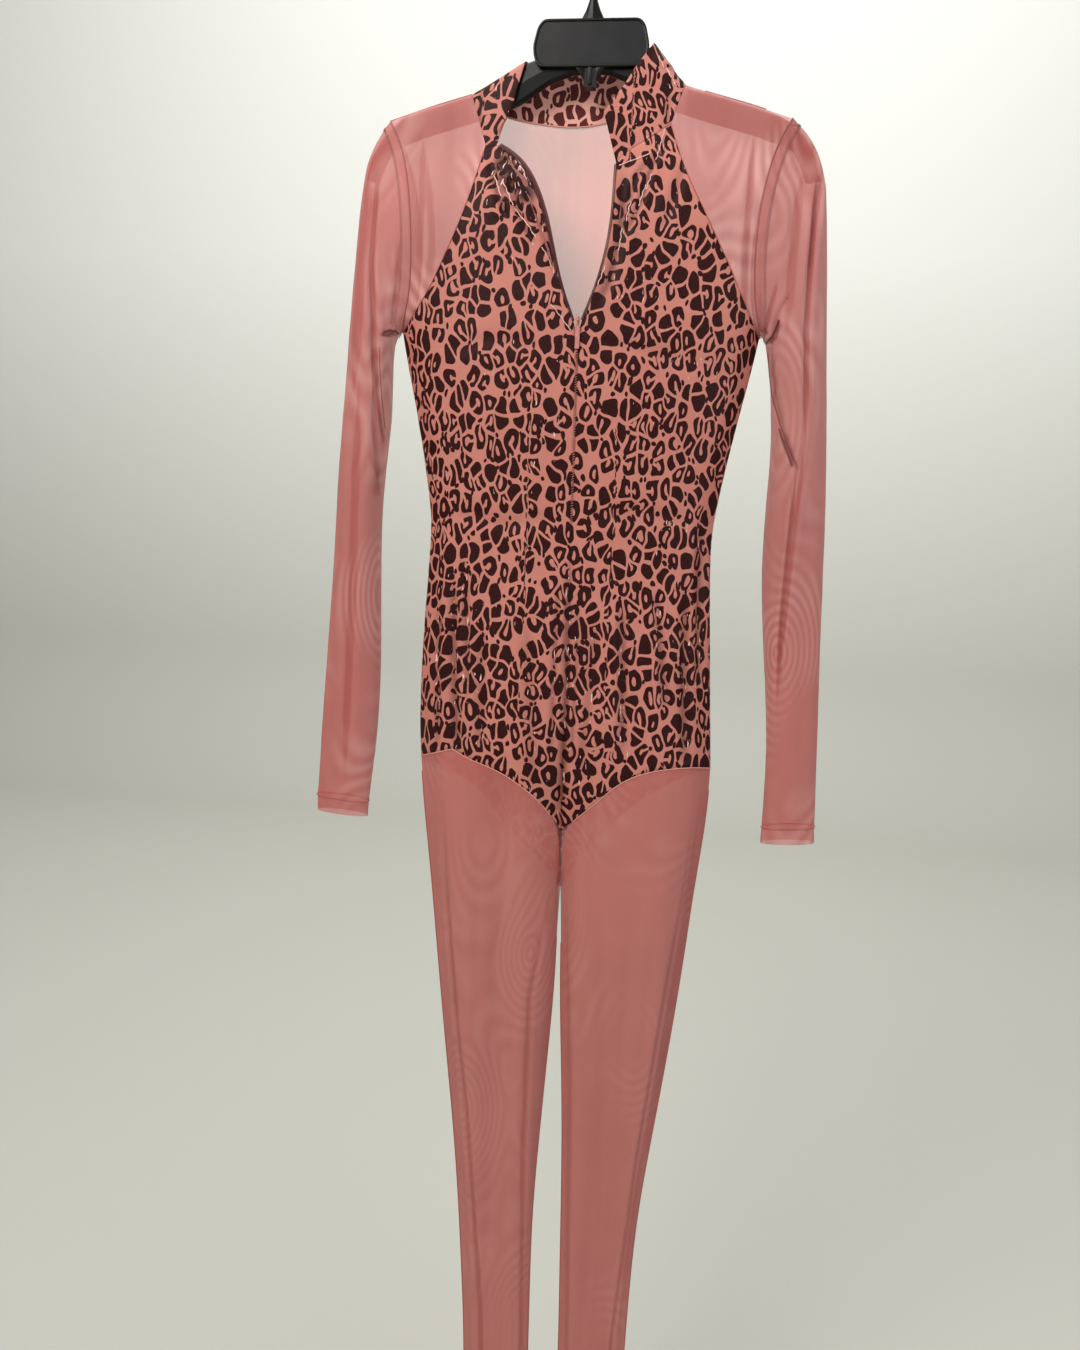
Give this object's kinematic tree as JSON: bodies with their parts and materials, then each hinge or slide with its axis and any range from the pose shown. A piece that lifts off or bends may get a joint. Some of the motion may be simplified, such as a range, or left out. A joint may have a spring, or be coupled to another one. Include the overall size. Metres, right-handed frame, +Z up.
{
  "type": "unitard on a hanger",
  "caption": "Long-sleeved one-piece stretch suit with sheer sleeves, yokes and legs, leopard knit body and stand collar, front zip open to the chest, hung on a plastic top hanger.",
  "frame": {"origin": "inner top of the hanger's hook, where a rail holds it", "axes": "+X to the viewer's right, -Y the garment's front, +Z up"},
  "size_m": [0.4869, 0.0693, 1.5819],
  "materials": {
    "leopard_knit": "foiled stretch knit with dark spots",
    "stretch_mesh": "sheer power mesh",
    "zip_tape": "woven tape",
    "zip_coil": "nylon coil",
    "zip_metal": "lacquered die-cast metal",
    "black_plastic": "satin injection-moulded plastic"
  },
  "bodies": {
    "garment": {"front_left": "leopard_knit", "front_right": "leopard_knit", "back_print": "leopard_knit", "collar": "leopard_knit", "yoke_front_left": "stretch_mesh", "yoke_front_right": "stretch_mesh", "back_yoke": "stretch_mesh", "sleeve_left": "stretch_mesh", "sleeve_right": "stretch_mesh", "leg_front_left": "stretch_mesh", "leg_front_right": "stretch_mesh", "leg_back_left": "stretch_mesh", "leg_back_right": "stretch_mesh", "cuff_left": "stretch_mesh", "cuff_right": "stretch_mesh", "zip_tape_left": "zip_tape", "zip_tape_right": "zip_tape", "zip_chain": "zip_coil", "zip_slider": "zip_metal", "hanger": "black_plastic"},
    "pull": {"zip_pull": "zip_metal"}
  },
  "joints": [
    {"name": "zip_pull_hinge", "type": "hinge", "parent": "garment", "child": "pull", "pos_m": [0.0008, -0.0345, -0.33415], "axis": [-1, 0, 0], "range_deg": [0, 150]}
  ]
}
